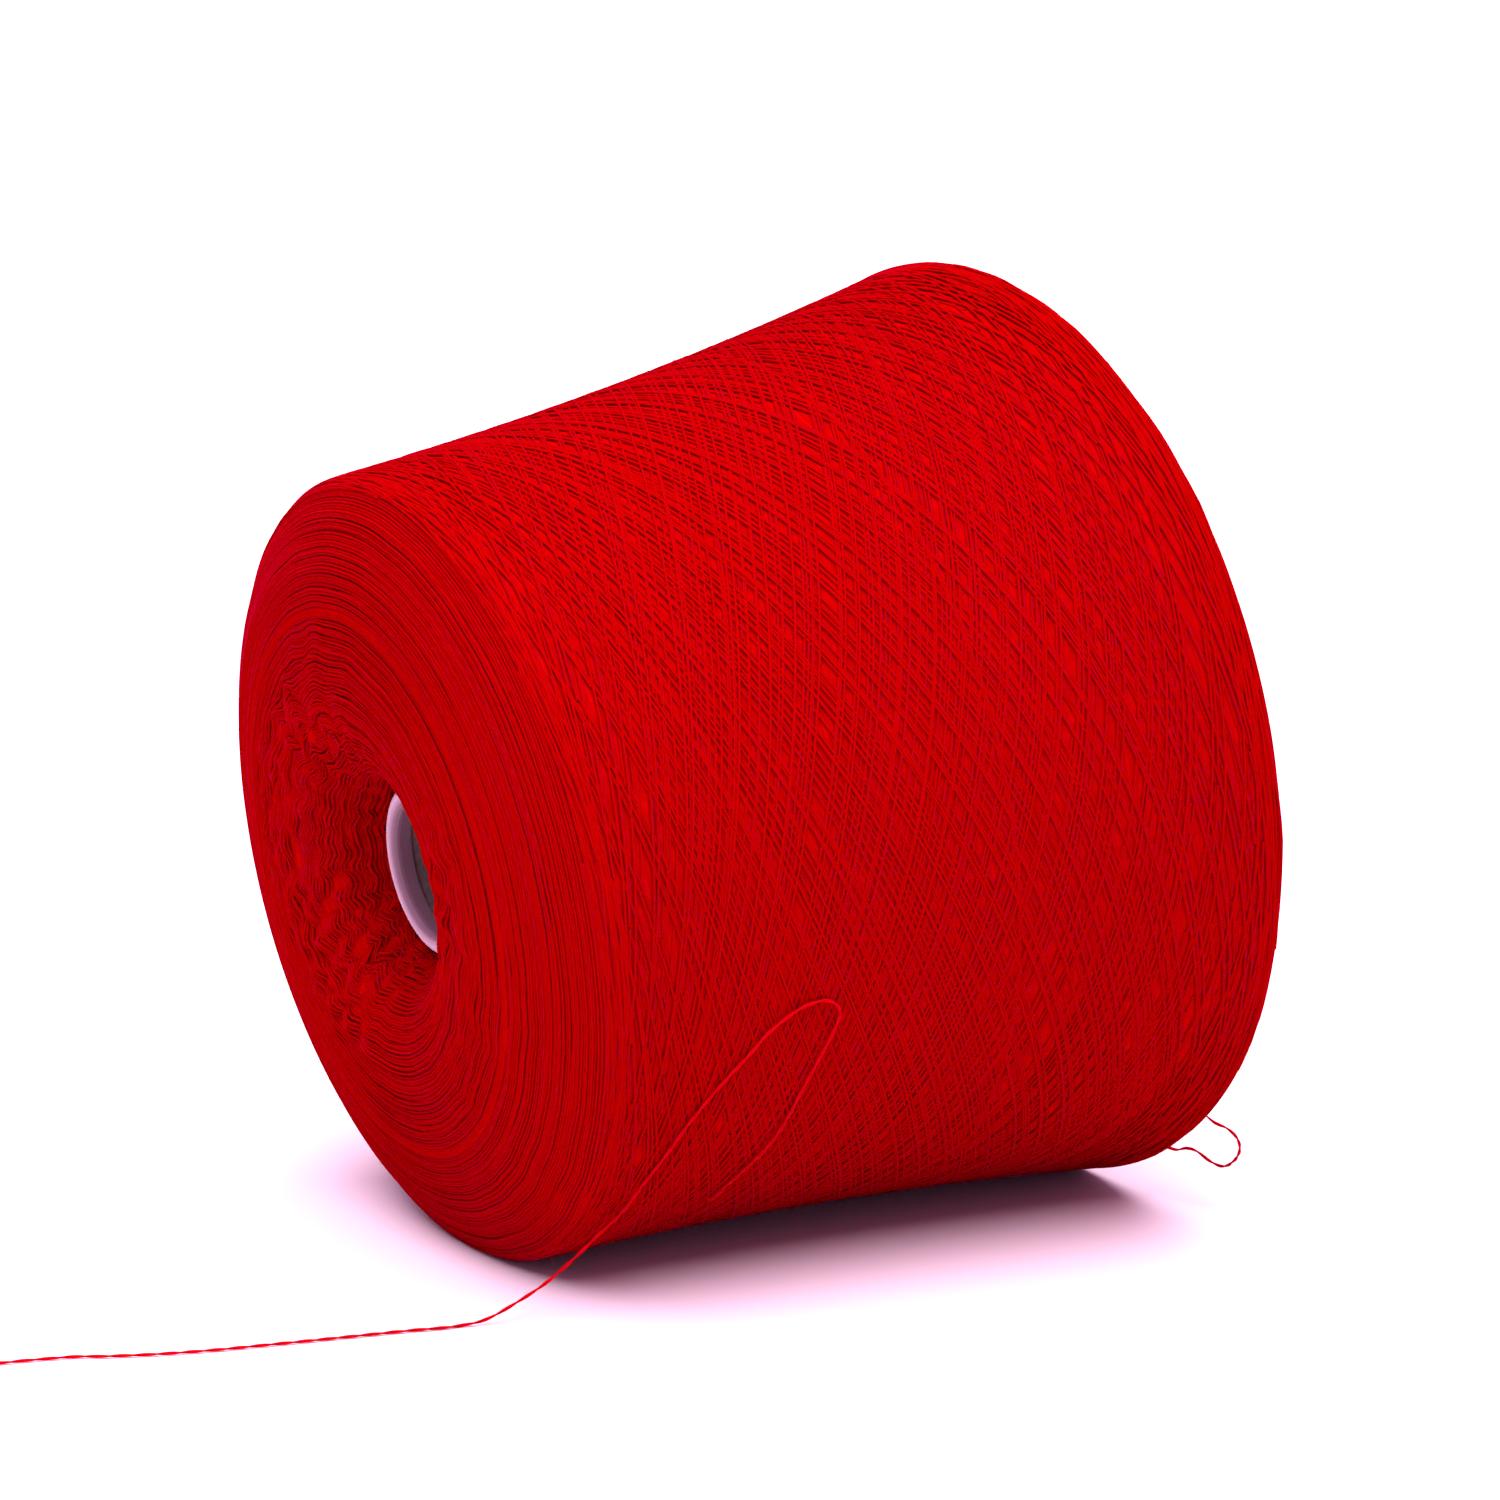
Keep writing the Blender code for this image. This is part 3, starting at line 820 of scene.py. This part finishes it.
SHOULDER_RUN = run_at_radius(0.0805, edge_run + 0.05, crest_run)
NEAT_END_RUN = run_at_radius(0.0535, edge_run + 0.05, crest_run)
NOSE_END_RUN = skin_run[-1]
ARC_STEP = 0.0026
ARC_SPAN = (1.6, 4.4)  # turn of the cone that one arc covers, in radians
ARC_SHARE = 0.93  # of that turn before the next arc starts
ARC_DRIFT = 0.0005  # how far an arc leaves its row from end to end
ARC_DEPTH = -0.00020  # height of an arc's middle over the skin
ARC_ENDS = 0.012  # length at each end over which an arc dips
BUCKLE_SIZE = 0.00048  # waves along the skin where the yarn is soft
HEAVE_SIZE = 0.00034  # and waves out of it


def ripple_field(seed, waves, across, terms=18):
    """A smooth random field over run and turn that closes round the cone."""
    source = np.random.default_rng(seed)
    rounds = source.integers(waves[0], waves[1] + 1, terms)
    slants = source.normal(0, 1 / across, terms)
    phases = source.random(terms) * math.tau
    size = math.sqrt(2 / terms)

    def field(run, turn):
        total = np.zeros(np.broadcast(run, turn).shape)
        for count, slant, phase in zip(rounds, slants, phases):
            total += np.cos(count * turn + slant * run + phase)
        return total * size

    return field


buckle = ripple_field(21, (14, 34), 0.0065)
heave = ripple_field(22, (10, 34), 0.0016)
patch = ripple_field(23, (1, 4), 0.012, 8)


def arcs_over(first, last, spacing, softness, jitter=0.00007, dip=0.0004, step=ARC_STEP):
    """Arcs round the cone, row by row. Softness(run) says how far the yarn there has buckled."""
    strands = []
    for row in np.arange(first, last, spacing * np.sign(last - first)):
        radius = np.interp(row, skin_run, skin[:, 0])
        start, covered = rng.random() * math.tau, 0.0
        while covered < math.tau:
            span = rng.uniform(*ARC_SPAN)
            count = max(8, int(span * radius / step))
            share = np.linspace(0, 1, count)
            turn = start + covered + span * share
            drift = rng.normal(0, ARC_DRIFT) * (share - 0.5)
            soft = softness(row)
            loose = soft * np.clip(0.75 + 0.6 * patch(row, turn), 0.15, 1.6)
            run = row + rng.normal(0, jitter) + drift + loose * BUCKLE_SIZE * buckle(row, turn)
            ends = np.clip(np.minimum(share, 1 - share) * span * radius / ARC_ENDS, 0, 1)
            lift = rng.normal(ARC_DEPTH, 0.00005 + 0.00012 * soft)
            lift = lift + loose * HEAVE_SIZE * heave(row, turn)
            strands.append((np.clip(run, 0, NOSE_END_RUN), turn, lift - dip * (1 - ends) ** 2))
            covered += span * ARC_SHARE
    return strands


def nose_softness(row):
    """Neat near the shoulder, soft on the crest and in the crater round the tube."""
    return float(np.interp(row, (NEAT_END_RUN - 0.004, crest_run - 0.002), (0.10, 1.0)))


def base_softness(row):
    """Firm near the edge, a little softer towards the tube."""
    return float(np.interp(row, (0.0, 0.030), (0.55, 0.08)))


nose_arcs = arcs_over(SHOULDER_RUN - 0.006, crest_run - 0.004, 0.00066, nose_softness)
crater_arcs = arcs_over(
    crest_run - 0.0042, NOSE_END_RUN, 0.00058, nose_softness, jitter=0.00018, dip=0.0007, step=0.0014
)
base_arcs = arcs_over(edge_run + 0.003, 0.0006, 0.00066, base_softness)
wind("nose_thread", nose_arcs)
wind("crater_thread", crater_arcs)
wind("base_thread", base_arcs)

# ---- first layers in the bore -------------------------------------------------------------------
# The thread that was wound straight onto the tube. It keeps the tube's shape when the tube is drawn.

BORE_STROKES = 34
BORE_TURNS = 3.31

bore_base, bore_nose = skin[0], skin[-1]


def bore_lines():
    lines = []
    for stroke in range(2 * BORE_STROKES):
        count = 190
        share = np.linspace(0, 1, count)
        reach = traverse(share) if stroke % 2 == 0 else 1 - traverse(share)
        reach = 0.012 + 0.976 * reach
        radius = bore_base[0] + (bore_nose[0] - bore_base[0]) * reach
        along = bore_base[1] + (bore_nose[1] - bore_base[1]) * reach
        turn = math.tau * (BORE_TURNS * (stroke + share) + stroke * 0.0137)
        lift = THREAD_RADIUS + 0.0001 + 0.0004 * ((stroke * 0.618) % 1)
        lines.append(on_cone(radius + lift, along, turn))
    return lines


bore_threads = spin_thread("bore_thread", bore_lines(), thread_finish, sides=4)
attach(bore_threads, "package")

# ---- lint ---------------------------------------------------------------------------------------
# Loose ends of fibre that stand a little way out of the yarn, finer than a hair.

LINT_RADIUS = 0.000022
LINT_DENSITY = 26000.0  # per square metre
LINT_LENGTH = 0.0030
LINT_CLEAR = 0.006  # no lint is looked for lower than this over the floor


def lint_tree():
    """Short bent fibres scattered over a surface, lying nearly flat on it."""
    tree = bpy.data.node_groups.new("lint", "GeometryNodeTree")
    face = tree.interface
    face.new_socket("Yarn", in_out="INPUT", socket_type="NodeSocketGeometry")
    for name, kind in (
        ("Density", "NodeSocketFloat"),
        ("Fibre Length", "NodeSocketFloat"),
        ("Fibre Radius", "NodeSocketFloat"),
        ("Seed", "NodeSocketInt"),
        ("Finish", "NodeSocketMaterial"),
    ):
        face.new_socket(name, in_out="INPUT", socket_type=kind)
    face.new_socket("Lint", in_out="OUTPUT", socket_type="NodeSocketGeometry")
    given = add_node(tree, "NodeGroupInput").outputs
    scattered = add_node(
        tree,
        "GeometryNodeDistributePointsOnFaces",
        {"Mesh": given["Yarn"], "Density": given["Density"], "Seed": given["Seed"]},
    ).outputs
    fibre = add_node(
        tree,
        "GeometryNodeCurveQuadraticBezier",
        {
            "Resolution": 5,
            "Start": (0.0, 0.0, 0.0),
            "Middle": (0.35, 0.25, 0.42),
            "End": (1.0, -0.1, 0.12),
        },
    ).outputs[0]
    about = add_node(
        tree,
        "FunctionNodeRandomValue",
        {"Min": (-0.35, -0.2, 0.0), "Max": (0.35, 0.35, math.tau), "Seed": given["Seed"]},
        data_type="FLOAT_VECTOR",
    ).outputs[0]
    swung = add_node(
        tree,
        "FunctionNodeRotateRotation",
        {"Rotation": scattered["Rotation"], "Rotate By": about},
        rotation_space="LOCAL",
    ).outputs[0]
    stretch = add_node(
        tree,
        "FunctionNodeRandomValue",
        {"Min": 0.35, "Max": 1.5, "Seed": given["Seed"]},
        data_type="FLOAT",
    ).outputs[1]
    length = add_node(
        tree, "ShaderNodeMath", {0: stretch, 1: given["Fibre Length"]}, operation="MULTIPLY"
    ).outputs[0]
    placed = add_node(
        tree,
        "GeometryNodeInstanceOnPoints",
        {"Points": scattered["Points"], "Instance": fibre, "Rotation": swung, "Scale": length},
    ).outputs[0]
    loose = add_node(tree, "GeometryNodeRealizeInstances", {0: placed}).outputs[0]
    ring = add_node(
        tree, "GeometryNodeCurvePrimitiveCircle", {"Resolution": 3, "Radius": given["Fibre Radius"]}
    ).outputs[0]
    spun = add_node(
        tree, "GeometryNodeCurveToMesh", {"Curve": loose, "Profile Curve": ring, "Fill Caps": True}
    ).outputs[0]
    real = add_node(tree, "GeometryNodeRealizeInstances", {0: spun}).outputs[0]
    done = add_node(
        tree, "GeometryNodeSetMaterial", {"Geometry": real, "Material": given["Finish"]}
    ).outputs[0]
    add_node(tree, "NodeGroupOutput", {0: done})
    return tree


def lint_ground():
    """The outside of the package from the base edge to the crater, as an open sheet for the lint."""
    picked = np.flatnonzero((skin_run > edge_run - 0.004) & (skin_run < crest_run + 0.012))[::6]
    turns = np.arange(120) * math.tau / 120
    points = on_skin(skin_run[picked][:, None], turns[None, :], 0.0)
    rows, facets = points.shape[:2]
    faces = []
    for r in range(rows - 1):
        for f in range(facets):
            if points[r, f, 2] > LINT_CLEAR:
                a, b = r * facets + f, r * facets + (f + 1) % facets
                faces.append((a, b, b + facets, a + facets))
    mesh = bpy.data.meshes.new("lint_ground")
    mesh.from_pydata(points.reshape(-1, 3).tolist(), [], faces)
    return mesh


lint = grown(
    "lint",
    lint_ground(),
    lint_tree(),
    {
        "Density": LINT_DENSITY,
        "Fibre Length": LINT_LENGTH,
        "Fibre Radius": LINT_RADIUS,
        "Seed": 5,
        "Finish": plied_painted_light_finish,
    },
)
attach(lint, "package")

# ---- floor and light ----------------------------------------------------------------------------
# A plain white floor under a big soft light from above and a bright even surround.

FLOOR_REACH = 20.0
FLOOR_WHITE = (0.88, 0.87, 0.88, 1.0)
FILL_STRENGTH = 0.48
FILL_COLOUR = (1.0, 0.48, 0.88, 1.0)
floor_mesh = bpy.data.meshes.new("floor")
floor_mesh.from_pydata(
    [(x * FLOOR_REACH, y * FLOOR_REACH, 0.0) for x, y in ((-1, -1), (1, -1), (1, 1), (-1, 1))],
    [],
    [(0, 1, 2, 3)],
)
floor = bpy.data.objects.new("floor", floor_mesh)
bpy.context.scene.collection.objects.link(floor)
white = bpy.data.materials.new("white_floor")
white.use_nodes = True
floor_surface = white.node_tree.nodes["Principled BSDF"]
floor_surface.inputs["Base Color"].default_value = FLOOR_WHITE
floor_surface.inputs["Roughness"].default_value = 0.9
floor_surface.inputs["Specular IOR Level"].default_value = 0.1
floor_mesh.materials.append(white)

world = bpy.data.worlds.new("surround")
world.use_nodes = True
air = world.node_tree
backdrop = add_node(air, "ShaderNodeBackground", {"Color": (1.0, 1.0, 1.0, 1.0), "Strength": 1.1})
fill = air.nodes["Background"]
fill.inputs["Color"].default_value = FILL_COLOUR
fill.inputs["Strength"].default_value = FILL_STRENGTH
seen = add_node(air, "ShaderNodeLightPath").outputs["Is Camera Ray"]
mixed = add_node(air, "ShaderNodeMixShader", {0: seen, 1: fill.outputs[0], 2: backdrop.outputs[0]})
air.links.new(mixed.outputs[0], air.nodes["World Output"].inputs["Surface"])
bpy.context.scene.world = world

LIGHT_FROM = Vector((-0.12, -0.22, 1.0))
LIGHT_SPREAD = math.radians(75)
LIGHT_STRENGTH = 8.0
LIGHT_COLOUR = (1.0, 0.74, 0.93)
lamp_data = bpy.data.lights.new("overhead", "SUN")
lamp_data.angle = LIGHT_SPREAD
lamp_data.energy = LIGHT_STRENGTH
lamp_data.color = LIGHT_COLOUR
lamp = bpy.data.objects.new("overhead", lamp_data)
lamp.rotation_euler = LIGHT_FROM.to_track_quat("Z", "Y").to_euler()
bpy.context.scene.collection.objects.link(lamp)

bpy.context.scene.view_settings.view_transform = "Standard"
